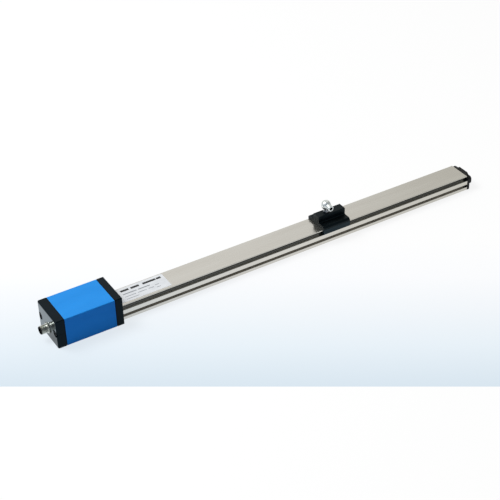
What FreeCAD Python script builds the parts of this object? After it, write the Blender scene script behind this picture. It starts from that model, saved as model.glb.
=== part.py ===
import FreeCAD, Part
import math
import os

# Linear displacement sensor: a long aluminium rail with a sensing tube inside,
# a square electronics housing at one end, and a magnet carriage that slides along the rail
# and carries a ball-jointed rod end. Millimetres. +X runs from the connector to the far end,
# +Z is up. The origin is in the base plane, half way along the whole length.

V = FreeCAD.Vector

# Electronics housing
housing_width = 56.4
housing_height = 43.3
housing_length = 95.6
housing_corner = 1.2
front_edge_round = 1.8
front_cap_thickness = 12.0
rear_cap_thickness = 10.0
cap_face_wall = 5.0
cap_side_wall = 3.2
cap_edge_round = 0.9
body_wall = 3.0
body_inset = 0.1
gasket_inset = 0.3
housing_gasket_thickness = 1.0
cap_screw_inset = 5.6
cap_screw_boss_radius = 4.6
cap_recess_radius = 4.4
cap_recess_depth = 4.6

# Cap and rail screws, all of one thread size
screw_radius = 2.0
screw_clearance = 0.1
screw_head_radius = 3.5
screw_head_height = 4.0
screw_socket_radius = 1.7
screw_socket_depth = 2.0
screw_grip = 10.0
screw_edge = 0.4

# Rail extrusion
rail_length = 577.5
rail_height = 22.7
rail_width = 39.4
plate_inset = 1.8
plate_thickness = 1.4
foot_rib_height = 4.75
clamp_groove_height = 4.2
clamp_groove_depth = 4.4
side_rib_height = 6.4
guide_slot_depth = 5.8
rail_edge_round = 0.4
rail_port_inset = 4.5
tube_axis_height = 13.2
rail_chamber_wall = 2.2

# Rail end cap
end_gasket_thickness = 0.8
end_cap_flange = 3.6
end_cap_depth = 7.4
end_cap_block_width = 24.0
end_cap_block_bottom = 4.0
end_cap_block_chamfer = 3.0
end_cap_lobe_inset = 0.1
end_cap_lobe_bottom = 7.6
end_cap_lobe_top = 20.0
end_cap_top_round = 4.0
end_screw_recess = 2.6
end_screw_head_radius = 3.6
end_screw_head_height = 2.4
end_screw_head_round = 0.6

# Sensing element inside the rail
tube_radius = 4.5
tube_wall = 0.8
tube_clearance = 0.2
tube_end_gap = 6.0
waveguide_radius = 0.4
return_wire_radius = 0.3
return_wire_drop = 2.2
insert_clearance = 0.05
wire_clearance = 0.05
spacer_count = 5
spacer_length = 6.0
damper_length = 40.0
tube_seal_radius = 6.3
tube_seal_thickness = 1.5

# Pickup head inside the housing
pickup_length = 28.0
pickup_width = 20.0
pickup_bottom = 4.6
pickup_top = 22.4
pickup_tube_seat = 8.0
pickup_corner = 1.0
coil_offset = 4.0
coil_length = 9.0
coil_radius = 3.6
coil_core_radius = 1.2
coil_flange = 1.0
coil_winding_inset = 0.5
coil_clearance = 0.2
magnet_bar_length = 8.0
magnet_bar_side = 3.0
magnet_bar_wall = 0.6
pickup_screw_radius = 1.25
pickup_screw_head_radius = 2.2
pickup_screw_head_height = 2.0
pickup_screw_offset = 7.2
pickup_screw_grip = 5.0
pickup_screw_edge_gap = 0.6
pickup_screw_end_gap = 0.5

# Circuit board and what stands on it
board_headroom = 8.0
board_thickness = 1.6
board_end_gap = 2.5
board_clearance = 0.2
board_rib = 1.5
capacitor_offset = 18.0
capacitor_radius = 3.2
capacitor_height = 7.0
capacitor_count = 3
capacitor_pitch = 8.0
capacitor_edge = 0.4
inductor_offset = 28.0
inductor_aside = -10.0
inductor_side = 9.0
inductor_height = 4.5
inductor_corner = 1.2
processor_end_gap = 11.6
processor_aside = 4.0
processor_side = 11.0
processor_height = 1.4
header_offset = 4.0
header_length = 6.0
header_width = 22.0
header_height = 6.0
header_ways = 5
header_pitch = 4.0
header_slot_width = 2.4
header_slot_depth = 2.0
header_slot_wall = 1.5

# Round cable connector
connector_radius = 6.0
connector_bore = 4.5
connector_length = 12.0
connector_height = 16.9
connector_flange_flats = 14.0
connector_flange_thickness = 2.0
connector_rear_radius = 5.6
connector_rear_length = 9.5
connector_clearance = 0.1
connector_cavity_depth = 8.0
connector_seal_radius = 6.7
connector_seal_thickness = 0.9
connector_nut_flats = 16.0
connector_nut_thickness = 3.0
connector_lead = 0.5
connector_key_width = 1.2
connector_key_depth = 1.1
pin_radius = 0.5
pin_circle = 2.5
pin_setback = 2.0
pin_tail = 4.0

# Magnet carriage
carriage_rest = 343.0
carriage_length = 44.5
carriage_ledge_rise = 5.3
carriage_ledge_chamfer = 2.4
carriage_top_rise = 15.2
carriage_block_width = 13.6
carriage_gap = 0.35
carriage_edge_round = 0.8
carriage_root_round = 1.5
shoe_side_gap = 0.3
shoe_wall = 1.8
shoe_tongue_thickness = 1.0
shoe_tongue_height = 2.0
shoe_tongue_clearance = 0.05
shoe_pin_radius = 0.6
shoe_pin_length = 3.4
shoe_pin_spacing = 28.0
carriage_magnet_radius = 4.0
carriage_magnet_height = 3.6
carriage_magnet_spacing = 26.0
carriage_magnet_offset = 9.5

# Ball joint
ball_offset = -5.5
ball_rise = 11.7
ball_radius = 4.0
ball_neck_radius = 2.1
ball_neck_length = 6.2
stud_radius = 2.5
stud_depth = 9.0
stud_clearance = 0.05
stud_nut_flats = 8.0
stud_nut_height = 3.0
stud_nut_flare = 1.4
stud_nut_crown = 0.2
swivel_clearance = 0.05
liner_wall = 0.65
mouth_cone_start = 1.15
liner_clearance = 0.02
tilt_limit = 18.0
mouth_clearance = 0.3
socket_wall = 2.28
socket_mouth_below_ball = 0.7
socket_lip = 0.6
socket_top_cut = 0.7
shank_radius = 4.3
shank_reach = 12.9
shank_edge = 0.5
thread_bore_radius = 2.1
thread_bore_depth = 6.4

# Rating plate on the rail, left blank
label_length = 78.0
label_offset_x = 2.0
label_front_margin = 3.7
label_back_margin = 1.5
label_thickness = 0.1

# Places worked out from the sizes above
overall_length = (connector_length + housing_length + rail_length
                  + end_gasket_thickness + end_cap_depth)
x_tip = -overall_length / 2
x_front = x_tip + connector_length
x_back = x_front + housing_length
x_rail_end = x_back + rail_length
x_front_seam = x_front + front_cap_thickness
x_body_front = x_front_seam + housing_gasket_thickness
x_rear_seam = x_back - rear_cap_thickness
x_body_back = x_rear_seam - housing_gasket_thickness
x_carriage = x_back + carriage_rest
x_ball = x_carriage + ball_offset

half_rail = rail_width / 2
half_plate = half_rail - plate_inset
clamp_groove_top = foot_rib_height + clamp_groove_height
side_rib_top = clamp_groove_top + side_rib_height
rail_port_offset = half_rail - rail_port_inset
rail_port_height = clamp_groove_top + side_rib_height / 2
plate_underside = rail_height - plate_thickness
slot_wall = half_rail - guide_slot_depth
end_cap_lobe_radius = rail_port_inset - end_cap_lobe_inset
carriage_underside = rail_height + carriage_gap
carriage_half_width = half_plate + shoe_side_gap + shoe_wall
carriage_ledge_height = rail_height + carriage_ledge_rise
carriage_top_height = rail_height + carriage_top_rise
ball_height = carriage_top_height + ball_rise
liner_radius = ball_radius + swivel_clearance + liner_wall
socket_radius = liner_radius + liner_clearance + socket_wall
socket_mouth_depth = ball_radius + socket_mouth_below_ball

cap_screw_offset = housing_width / 2 - cap_screw_inset
cap_screw_height = housing_height / 2
body_half_width = housing_width / 2 - body_inset
body_top = housing_height - body_inset
cavity_half_width = body_half_width - body_wall
cavity_bottom = body_inset + body_wall
cavity_top = body_top - body_wall
board_height = cavity_top - board_headroom - board_thickness
tube_hole_radius = tube_radius + tube_clearance
tube_bore_radius = tube_radius - tube_wall
screw_hole_radius = screw_radius + screw_clearance
x_tube_end = x_rail_end - tube_end_gap
x_pickup = x_rear_seam - pickup_length
x_tube_start = x_rear_seam - pickup_tube_seat


def export(shape, node):
    """Write one sub-part to its own file."""
    shape = shape.removeSplitter()
    shape.exportStep("parts/" + node + ".step")
    print(node, len(shape.Solids), "solid(s), volume", round(shape.Volume, 1), shape.isValid())


def block(x0, x1, y0, y1, z0, z1):
    """Box between two opposite corners."""
    return Part.makeBox(x1 - x0, y1 - y0, z1 - z0, V(x0, y0, z0))


def rod_x(radius, x0, x1, y=0.0, z=0.0):
    """Round bar along X."""
    return Part.makeCylinder(radius, x1 - x0, V(x0, y, z), V(1, 0, 0))


def rod_y(radius, y0, y1, x=0.0, z=0.0):
    """Round bar along Y."""
    return Part.makeCylinder(radius, y1 - y0, V(x, y0, z), V(0, 1, 0))


def rod_z(radius, z0, z1, x=0.0, y=0.0):
    """Round bar along Z."""
    return Part.makeCylinder(radius, z1 - z0, V(x, y, z0), V(0, 0, 1))


def hexagon_bar(flats, start, length, direction):
    """Hexagonal bar whose width across flats is given."""
    corner = flats / 2 / math.cos(math.pi / 6)
    points = [V(corner * math.cos(i * math.pi / 3), corner * math.sin(i * math.pi / 3), 0)
              for i in range(7)]
    bar = Part.Face(Part.makePolygon(points)).extrude(V(0, 0, length))
    bar.Placement = FreeCAD.Placement(start, FreeCAD.Rotation(V(0, 0, 1), direction))
    return bar


def rounded_bar(x0, x1, half_width, z0, z1, radius):
    """Bar along X with a rounded rectangular section."""
    bar = block(x0, x1, -half_width, half_width, z0, z1)
    return bar.makeFillet(radius, edges_along(bar, V(1, 0, 0)))


def edges_along(shape, direction):
    """Straight edges of a shape that run in one direction."""
    found = []
    for edge in shape.Edges:
        if edge.Curve.TypeId == "Part::GeomLine":
            if abs(abs(edge.tangentAt(edge.FirstParameter).dot(direction)) - 1) < 1e-6:
                found.append(edge)
    return found


def edges_at(shape, x):
    """Edges that lie wholly in the plane of one X value."""
    return [e for e in shape.Edges
            if abs(e.BoundBox.XMin - x) < 1e-6 and abs(e.BoundBox.XMax - x) < 1e-6]


def section_bar(points, x0, x1):
    """Bar along X whose section is a polygon of (y, z) points."""
    corners = [V(x0, y, z) for y, z in points]
    face = Part.Face(Part.makePolygon(corners + corners[:1]))
    return face.extrude(V(x1 - x0, 0, 0))


def mirrored(points):
    """Full outline from its +Y half, listed from the bottom up."""
    return points + [(-y, z) for y, z in reversed(points)]


def both_sides(shape):
    """A shape and its mirror image across the middle plane."""
    return [shape, shape.mirror(V(0, 0, 0), V(0, 1, 0))]


# Housing

def cap_screw_holes(x0, x1, radius):
    """Bars through a cap or gasket where its two screws pass."""
    return both_sides(rod_x(radius, x0, x1, cap_screw_offset, cap_screw_height))


def cap_screw(x_seat, side):
    """Socket head screw along X; side is the way it points into the housing."""
    head = rod_x(screw_head_radius, 0, screw_head_height)
    head = head.makeChamfer(screw_edge, edges_at(head, 0))
    shank = rod_x(screw_radius, screw_head_height, screw_head_height + screw_shank_length(side))
    socket = hexagon_bar(2 * screw_socket_radius, V(0, 0, 0), screw_socket_depth, V(1, 0, 0))
    screw = head.fuse(shank).cut(socket)
    if side < 0:
        screw = screw.mirror(V(0, 0, 0), V(1, 0, 0))
    screw.translate(V(x_seat - side * screw_head_height, cap_screw_offset, cap_screw_height))
    return screw


def screw_shank_length(side):
    """Length under the head that reaches through a cap and its gasket into the body."""
    cap = front_cap_thickness if side > 0 else rear_cap_thickness
    return cap - cap_recess_depth + housing_gasket_thickness + screw_grip


def housing_body():
    """Extruded square tube with screw ports and slots for the board."""
    outer = rounded_bar(x_body_front, x_body_back, body_half_width,
                        body_inset, body_top, housing_corner)
    inner = rounded_bar(x_body_front, x_body_back, cavity_half_width,
                        cavity_bottom, cavity_top, housing_corner / 2)
    shell = outer.cut(inner)
    ports = [rod_x(cap_screw_boss_radius, x_body_front, x_body_back,
                   cap_screw_offset, cap_screw_height)]
    rib_low = board_height - board_clearance - board_rib
    rib_high = board_height + board_thickness + board_clearance
    for z in (rib_low, rib_high):
        ports.append(block(x_body_front, x_body_back, cavity_half_width - board_rib,
                           cavity_half_width + body_wall / 2, z, z + board_rib))
    for port in ports:
        shell = shell.fuse([p.common(outer) for p in both_sides(port)])
    return shell.cut(cap_screw_holes(x_body_front, x_body_back, screw_hole_radius))


def front_cap():
    """Hollow end cap that carries the connector."""
    cap = block(x_front, x_front_seam, -housing_width / 2, housing_width / 2,
                0, housing_height)
    cap = cap.makeFillet(front_edge_round, edges_at(cap, x_front))
    cap = cap.makeFillet(housing_corner, edges_along(cap, V(1, 0, 0)))
    half = housing_width / 2 - cap_side_wall
    pocket = rounded_bar(x_front + cap_face_wall, x_front_seam, half, cap_side_wall,
                         housing_height - cap_side_wall, housing_corner / 2)
    pocket = pocket.cut(cap_screw_holes(x_front, x_front_seam, cap_screw_boss_radius))
    cap = cap.cut(pocket)
    cap = cap.cut(cap_screw_holes(x_front, x_front_seam, screw_hole_radius))
    cap = cap.cut(cap_screw_holes(x_front, x_front + cap_recess_depth, cap_recess_radius))
    cap = cap.cut(rod_x(connector_rear_radius + connector_clearance, x_front,
                        x_front + cap_face_wall, 0, connector_height))
    return cap.cut(rod_x(connector_seal_radius, x_front, x_front + connector_seal_thickness,
                         0, connector_height))


def rear_cap():
    """Solid end cap that carries the rail and the pickup head."""
    cap = rounded_bar(x_rear_seam, x_back, housing_width / 2, 0, housing_height,
                      housing_corner)
    cap = cap.makeFillet(cap_edge_round, edges_at(cap, x_back))
    cap = cap.cut(cap_screw_holes(x_rear_seam, x_back, screw_hole_radius))
    cap = cap.cut(cap_screw_holes(x_back - cap_recess_depth, x_back, cap_recess_radius))
    cap = cap.cut(rod_x(tube_hole_radius, x_rear_seam, x_back, 0, tube_axis_height))
    cap = cap.cut(rod_x(tube_seal_radius, x_back - tube_seal_thickness, x_back,
                        0, tube_axis_height))
    cap = cap.cut(both_sides(rod_x(screw_hole_radius, x_rear_seam, x_back,
                                   rail_port_offset, rail_port_height)))
    cap = cap.cut(both_sides(rod_x(screw_head_radius + 2 * screw_clearance, x_rear_seam,
                                   x_rear_seam + cap_recess_depth,
                                   rail_port_offset, rail_port_height)))
    hole = rod_x(pickup_screw_radius + screw_clearance, x_rear_seam,
                 x_rear_seam + pickup_screw_grip, pickup_screw_offset, pickup_screw_height())
    return cap.cut(both_sides(hole))


def housing_gasket(x0, x1):
    """Flat rubber frame between the body and a cap."""
    frame = rounded_bar(x0, x1, body_half_width - gasket_inset, body_inset + gasket_inset,
                        body_top - gasket_inset, housing_corner)
    opening = rounded_bar(x0, x1, cavity_half_width, cavity_bottom, cavity_top,
                          housing_corner / 2)
    ears = cap_screw_holes(x0, x1, cap_screw_boss_radius)
    frame = frame.cut(opening.cut(ears))
    return frame.cut(cap_screw_holes(x0, x1, screw_hole_radius))


def front_cap_screws():
    """The two screws of the connector end."""
    return Part.makeCompound(both_sides(cap_screw(x_front + cap_recess_depth, 1)))


def rear_cap_screws():
    """The two screws of the rail end."""
    return Part.makeCompound(both_sides(cap_screw(x_back - cap_recess_depth, -1)))


# Rail

def rail_section():
    """Half outline of the rail: foot rib, clamp groove, side rib, guide slot, top plate."""
    return [(half_rail, 0),
            (half_rail, foot_rib_height),
            (half_rail - clamp_groove_depth, foot_rib_height),
            (half_rail - clamp_groove_depth, clamp_groove_top),
            (half_rail, clamp_groove_top),
            (half_rail, side_rib_top),
            (slot_wall, side_rib_top),
            (slot_wall, plate_underside),
            (half_plate, plate_underside),
            (half_plate, rail_height)]


def outer_rib_edges(bar):
    """Long edges at the outside of the ribs and of the top plate."""
    found = []
    for edge in edges_along(bar, V(1, 0, 0)):
        y = abs(edge.BoundBox.YMax + edge.BoundBox.YMin) / 2
        if abs(y - half_rail) < 1e-6 or abs(y - half_plate) < 1e-6:
            found.append(edge)
    return found


def rail_extrusion():
    """Aluminium extrusion with the bore of the sensing tube and its screw ports."""
    rail = section_bar(mirrored(rail_section()), x_back, x_rail_end)
    rail = rail.makeFillet(rail_edge_round, outer_rib_edges(rail))
    holes = [rod_x(tube_hole_radius, x_back, x_rail_end, 0, tube_axis_height)]
    holes += both_sides(rod_x(screw_hole_radius, x_back, x_rail_end,
                              rail_port_offset, rail_port_height))
    chamber_half = slot_wall - rail_chamber_wall
    chamber_top = tube_axis_height - tube_hole_radius - rail_chamber_wall
    holes.append(block(x_back, x_rail_end, -chamber_half, chamber_half,
                       rail_chamber_wall, chamber_top))
    side = block(x_back, x_rail_end, tube_hole_radius + rail_chamber_wall,
                 rail_port_offset - screw_hole_radius - rail_chamber_wall / 2,
                 chamber_top + rail_chamber_wall, plate_underside - rail_chamber_wall / 2)
    return rail.cut(holes + both_sides(side))


def rail_screws():
    """Screws from inside the rear cap into the ports of the rail."""
    head = rod_x(screw_head_radius, 0, screw_head_height)
    length = rear_cap_thickness - cap_recess_depth + screw_grip
    shank = rod_x(screw_radius, screw_head_height, screw_head_height + length)
    socket = hexagon_bar(2 * screw_socket_radius, V(0, 0, 0), screw_socket_depth, V(1, 0, 0))
    screw = head.fuse(shank).cut(socket)
    screw.translate(V(x_rear_seam + cap_recess_depth - screw_head_height,
                      rail_port_offset, rail_port_height))
    return Part.makeCompound(both_sides(screw))


def end_outline(x0, x1):
    """Plate over the rail's end: it closes the slots and has rounded top corners."""
    plate = section_bar(mirrored([(half_rail, 0), (half_rail, side_rib_top),
                                  (half_plate, side_rib_top), (half_plate, rail_height)]),
                        x0, x1)
    top = [e for e in edges_along(plate, V(1, 0, 0)) if e.BoundBox.ZMin > rail_height - 1e-6]
    return plate.makeFillet(end_cap_top_round, top)


def end_gasket():
    """Thin seal between the rail and its end cap."""
    x1 = x_rail_end + end_gasket_thickness
    gasket = end_outline(x_rail_end, x1)
    return gasket.cut(both_sides(rod_x(screw_hole_radius, x_rail_end, x1,
                                       rail_port_offset, rail_port_height)))


def rail_end_cap():
    """Moulded end cap: a flange, a raised middle block and a round lobe for each screw."""
    x0 = x_rail_end + end_gasket_thickness
    x1 = x0 + end_cap_depth
    cap = end_outline(x0, x0 + end_cap_flange)
    middle = block(x0, x1, -end_cap_block_width / 2, end_cap_block_width / 2,
                   end_cap_block_bottom, rail_height)
    top = [e for e in edges_along(middle, V(1, 0, 0)) if e.BoundBox.ZMin > rail_height - 1e-6]
    middle = middle.makeChamfer(end_cap_block_chamfer, top)
    lobes = []
    low = end_cap_lobe_bottom + end_cap_lobe_radius
    high = end_cap_lobe_top - end_cap_lobe_radius
    for z in (low, high):
        lobes += both_sides(rod_x(end_cap_lobe_radius, x0, x1, rail_port_offset, z))
    lobes += both_sides(block(x0, x1, rail_port_offset, rail_port_offset + end_cap_lobe_radius,
                              low, high))
    web = block(x0, x1, 0, rail_port_offset, end_cap_lobe_bottom, end_cap_lobe_top)
    raised = middle.fuse(lobes + both_sides(web)).removeSplitter()
    raised = raised.makeFillet(cap_edge_round, edges_at(raised, x1))
    cap = cap.fuse(raised)
    cap = cap.cut(both_sides(rod_x(screw_hole_radius, x0, x1,
                                   rail_port_offset, rail_port_height)))
    return cap.cut(both_sides(rod_x(end_screw_head_radius + screw_clearance,
                                    x1 - end_screw_recess, x1,
                                    rail_port_offset, rail_port_height)))


def end_cap_screws():
    """Pan head screws that hold the end cap."""
    x_seat = x_rail_end + end_gasket_thickness + end_cap_depth - end_screw_recess
    head = rod_x(end_screw_head_radius, x_seat, x_seat + end_screw_head_height,
                 rail_port_offset, rail_port_height)
    head = head.makeFillet(end_screw_head_round, edges_at(head, x_seat + end_screw_head_height))
    shank = rod_x(screw_radius, x_rail_end - screw_grip, x_seat,
                  rail_port_offset, rail_port_height)
    start = V(x_seat + end_screw_head_height - screw_socket_depth / 2,
              rail_port_offset, rail_port_height)
    socket = hexagon_bar(2 * screw_socket_radius, start, screw_socket_depth, V(1, 0, 0))
    return Part.makeCompound(both_sides(head.fuse(shank).cut(socket)))


def rating_plate():
    """Blank plate on top of the rail beside the housing."""
    x0 = x_back + label_offset_x
    return block(x0, x0 + label_length, label_front_margin - half_plate,
                 half_plate - label_back_margin, rail_height, rail_height + label_thickness)


# Sensing element

def sensing_tube():
    """Thin tube that guards the waveguide along the rail."""
    tube = rod_x(tube_radius, x_tube_start, x_tube_end, 0, tube_axis_height)
    return tube.cut(rod_x(tube_bore_radius, x_tube_start, x_tube_end, 0, tube_axis_height))


def wire_holes(x0, x1):
    """Passages of the waveguide and of its return wire."""
    return [rod_x(waveguide_radius + wire_clearance, x0, x1, 0, tube_axis_height),
            rod_x(return_wire_radius + wire_clearance, x0, x1, 0,
                  tube_axis_height - return_wire_drop)]


def waveguide_spacers():
    """Soft discs that centre the waveguide in its tube."""
    pitch = (x_tube_end - damper_length - x_back) / (spacer_count + 1)
    discs = []
    for i in range(spacer_count):
        x0 = x_back + (i + 1) * pitch - spacer_length / 2
        disc = rod_x(tube_bore_radius - insert_clearance, x0, x0 + spacer_length,
                     0, tube_axis_height)
        discs.append(disc.cut(wire_holes(x0, x0 + spacer_length)))
    return Part.makeCompound(discs)


def waveguide_damper():
    """Silicone plug that swallows the pulse at the far end of the waveguide."""
    x0 = x_tube_end - damper_length
    plug = rod_x(tube_bore_radius - insert_clearance, x0, x_tube_end, 0, tube_axis_height)
    return plug.cut(wire_holes(x0, x_tube_end))


def waveguide():
    """Magnetostrictive wire from the pickup coil to the damper."""
    return rod_x(waveguide_radius, x_pickup, x_tube_end, 0, tube_axis_height)


def return_wire():
    """Copper wire that carries the pulse current back."""
    return rod_x(return_wire_radius, x_pickup, x_tube_end, 0,
                 tube_axis_height - return_wire_drop)


def tube_seal():
    """Rubber ring round the tube, squeezed between rear cap and rail."""
    x0 = x_back - tube_seal_thickness
    ring = rod_x(tube_seal_radius - insert_clearance, x0, x_back, 0, tube_axis_height)
    return ring.cut(rod_x(tube_radius + insert_clearance, x0, x_back, 0, tube_axis_height))


# Pickup head

def pickup_screw_height():
    """Height of the two screws that hold the pickup frame."""
    return pickup_top - pickup_screw_head_radius - pickup_screw_edge_gap


def coil_start():
    """X of the pickup coil's near end."""
    return x_pickup + coil_offset


def pickup_frame():
    """Plastic frame that seats the tube and holds the coil and its bias magnet."""
    frame = block(x_pickup, x_rear_seam, -pickup_width / 2, pickup_width / 2,
                  pickup_bottom, pickup_top)
    frame = frame.makeFillet(pickup_corner, edges_along(frame, V(0, 0, 1)))
    frame = frame.cut(rod_x(tube_radius + insert_clearance, x_tube_start, x_rear_seam,
                            0, tube_axis_height))
    frame = frame.cut(wire_holes(x_pickup, x_tube_start))
    x0 = coil_start() - coil_clearance
    x1 = coil_start() + coil_length + coil_clearance
    half = coil_radius + coil_clearance
    well = block(x0, x1, -half, half, tube_axis_height, pickup_top)
    well = well.fuse(rod_x(half, x0, x1, 0, tube_axis_height))
    frame = frame.cut(well)
    frame = frame.cut(bias_magnet_bar(coil_clearance / 2))
    hole = rod_x(pickup_screw_radius + screw_clearance, x_pickup, x_rear_seam,
                 pickup_screw_offset, pickup_screw_height())
    return frame.cut(both_sides(hole))


def pickup_coil():
    """Coil and bobbin round the waveguide."""
    x0 = coil_start()
    x1 = x0 + coil_length
    z = tube_axis_height
    bobbin = rod_x(coil_radius - coil_winding_inset, x0, x1, 0, z)
    bobbin = bobbin.fuse([rod_x(coil_radius, x0, x0 + coil_flange, 0, z),
                          rod_x(coil_radius, x1 - coil_flange, x1, 0, z)])
    bobbin = bobbin.cut(rod_x(coil_core_radius, x0, x1, 0, z))
    return bobbin.cut(wire_holes(x0, x1)[1])


def bias_magnet_bar(grow=0.0):
    """Bar magnet beside the coil; grow gives the pocket that holds it."""
    x0 = coil_start() + coil_length / 2 - magnet_bar_length / 2
    y0 = coil_radius + 2 * coil_clearance + magnet_bar_wall
    z0 = tube_axis_height - magnet_bar_side / 2
    return block(x0 - grow, x0 + magnet_bar_length + grow,
                 y0 - grow, y0 + magnet_bar_side + grow,
                 z0 - grow, z0 + magnet_bar_side + grow)


def pickup_screws():
    """Screws that hold the pickup frame to the rear cap."""
    z = pickup_screw_height()
    y = pickup_screw_offset
    head = rod_x(pickup_screw_head_radius, x_pickup - pickup_screw_head_height, x_pickup, y, z)
    head = head.makeChamfer(screw_edge, edges_at(head, x_pickup - pickup_screw_head_height))
    x1 = x_rear_seam + pickup_screw_grip - pickup_screw_end_gap
    shank = rod_x(pickup_screw_radius, x_pickup, x1, y, z)
    return Part.makeCompound(both_sides(head.fuse(shank)))


# Circuit board

def board_span():
    """Near and far X of the board."""
    return x_body_front + board_end_gap, x_body_back - board_end_gap


def main_board():
    """Board that slides into the slots of the housing."""
    x0, x1 = board_span()
    half = cavity_half_width - board_clearance
    return block(x0, x1, -half, half, board_height, board_height + board_thickness)


def capacitors():
    """Row of round capacitors."""
    x = board_span()[0] + capacitor_offset
    z = board_height + board_thickness
    cans = []
    for i in range(capacitor_count):
        y = (i - (capacitor_count - 1) / 2) * capacitor_pitch
        can = rod_z(capacitor_radius, z, z + capacitor_height, x, y)
        top = [e for e in can.Edges if e.BoundBox.ZMin > z + capacitor_height - 1e-6]
        cans.append(can.makeChamfer(capacitor_edge, top))
    return Part.makeCompound(cans)


def on_board(x0, y, side, height):
    """Square part that stands on the board."""
    z = board_height + board_thickness
    return block(x0, x0 + side, y - side / 2, y + side / 2, z, z + height)


def inductor():
    """Moulded power inductor."""
    x0 = board_span()[0] + inductor_offset
    part = on_board(x0, inductor_aside, inductor_side, inductor_height)
    return part.makeFillet(inductor_corner, edges_along(part, V(0, 0, 1)))


def processor():
    """Flat processor chip, placed from the board's far end."""
    x0 = board_span()[1] - processor_end_gap - processor_side
    return on_board(x0, processor_aside, processor_side, processor_height)


def board_header():
    """Terminal block for the leads of the connector."""
    x0 = board_span()[0] + header_offset
    z = board_height + board_thickness
    body = block(x0, x0 + header_length, -header_width / 2, header_width / 2,
                 z, z + header_height)
    slots = []
    for i in range(header_ways):
        y = (i - (header_ways - 1) / 2) * header_pitch
        slots.append(block(x0, x0 + header_slot_depth,
                           y - header_slot_width / 2, y + header_slot_width / 2,
                           z + header_slot_wall, z + header_height - header_slot_wall))
    return body.cut(slots)


# Connector

def connector_shell():
    """Plated receptacle: threaded barrel in front, hexagon flange, rear thread."""
    z = connector_height
    x1 = x_front + connector_rear_length
    barrel = rod_x(connector_radius, x_tip, x_front, 0, z)
    barrel = barrel.makeChamfer(connector_lead, edges_at(barrel, x_tip))
    flange = hexagon_bar(connector_flange_flats, V(x_front - connector_flange_thickness, 0, z),
                         connector_flange_thickness, V(1, 0, 0))
    rear = rod_x(connector_rear_radius, x_front, x1, 0, z)
    shell = barrel.fuse([flange, rear])
    return shell.cut(rod_x(connector_bore, x_tip, x1, 0, z))


def pin_places():
    """Y and Z offsets of the contact pins."""
    places = [(0.0, 0.0)]
    for i in range(4):
        angle = math.pi / 4 + i * math.pi / 2
        places.append((pin_circle * math.cos(angle), pin_circle * math.sin(angle)))
    return places


def pin_rods(radius, x0, x1):
    """Bars at every pin place."""
    return [rod_x(radius, x0, x1, y, connector_height + z) for y, z in pin_places()]


def connector_insert():
    """Insulator that holds the pins."""
    x0 = x_tip + connector_cavity_depth
    x1 = x_front + connector_rear_length
    body = rod_x(connector_bore - insert_clearance, x0, x1, 0, connector_height)
    key = block(x0 - connector_cavity_depth / 2, x0,
                -connector_key_width / 2, connector_key_width / 2,
                connector_height + connector_bore - connector_key_depth,
                connector_height + connector_bore - 2 * insert_clearance)
    return body.fuse(key).cut(pin_rods(pin_radius + insert_clearance / 2, x0, x1))


def connector_pins():
    """Contact pins with their solder tails."""
    x0 = x_tip + pin_setback
    x1 = x_front + connector_rear_length + pin_tail
    pins = []
    for pin in pin_rods(pin_radius, x0, x1):
        pins.append(pin.makeChamfer(pin_radius / 2, edges_at(pin, x0)))
    return Part.makeCompound(pins)


def connector_seal():
    """Flat ring between the connector flange and the cap."""
    x1 = x_front + connector_seal_thickness
    ring = rod_x(connector_seal_radius - insert_clearance, x_front, x1, 0, connector_height)
    return ring.cut(rod_x(connector_rear_radius + insert_clearance, x_front, x1,
                          0, connector_height))


def connector_nut():
    """Hexagon nut that holds the connector from inside the cap."""
    x0 = x_front + cap_face_wall
    nut = hexagon_bar(connector_nut_flats, V(x0, 0, connector_height),
                      connector_nut_thickness, V(1, 0, 0))
    return nut.cut(rod_x(connector_rear_radius + insert_clearance, x0,
                         x0 + connector_nut_thickness, 0, connector_height))


# Carriage

def carriage_span():
    """Near and far X of the carriage."""
    return x_carriage - carriage_length / 2, x_carriage + carriage_length / 2


def tongue_place():
    """Inner and outer Y of the shoe's tongue."""
    middle = (half_plate + shoe_side_gap + carriage_half_width) / 2
    return middle - shoe_tongue_thickness / 2, middle + shoe_tongue_thickness / 2


def carriage_body():
    """Black anodised block: a wide base with bevelled sides and a narrow raised middle."""
    x0, x1 = carriage_span()
    half_block = carriage_block_width / 2
    shoulder = carriage_half_width - carriage_ledge_chamfer
    body = section_bar(mirrored([(carriage_half_width, carriage_underside),
                                 (carriage_half_width,
                                  carriage_ledge_height - carriage_ledge_chamfer),
                                 (shoulder, carriage_ledge_height),
                                 (half_block, carriage_ledge_height),
                                 (half_block, carriage_top_height)]), x0, x1)
    root = [e for e in edges_along(body, V(1, 0, 0))
            if abs(e.BoundBox.ZMin - carriage_ledge_height) < 1e-6
            and abs(abs(e.BoundBox.YMin) - half_block) < 1e-6]
    body = body.makeFillet(carriage_root_round, root)
    body = body.makeFillet(carriage_edge_round, carriage_outer_edges(body))
    for i in (-1, 1):
        for j in (-1, 1):
            body = body.cut(rod_z(carriage_magnet_radius + insert_clearance,
                                  carriage_underside,
                                  carriage_underside + carriage_magnet_height
                                  + insert_clearance,
                                  x_carriage + i * carriage_magnet_spacing / 2,
                                  j * carriage_magnet_offset))
    y0, y1 = tongue_place()
    groove = block(x0, x1, y0 - shoe_tongue_clearance, y1 + shoe_tongue_clearance,
                   carriage_underside,
                   carriage_underside + shoe_tongue_height + shoe_tongue_clearance)
    body = body.cut(both_sides(groove))
    for x in pin_positions():
        body = body.cut(both_sides(shoe_pin(x, shoe_pin_radius + insert_clearance / 2)))
    return body.cut(rod_z(stud_radius + stud_clearance, carriage_top_height - stud_depth,
                          carriage_top_height, x_ball, 0))


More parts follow.
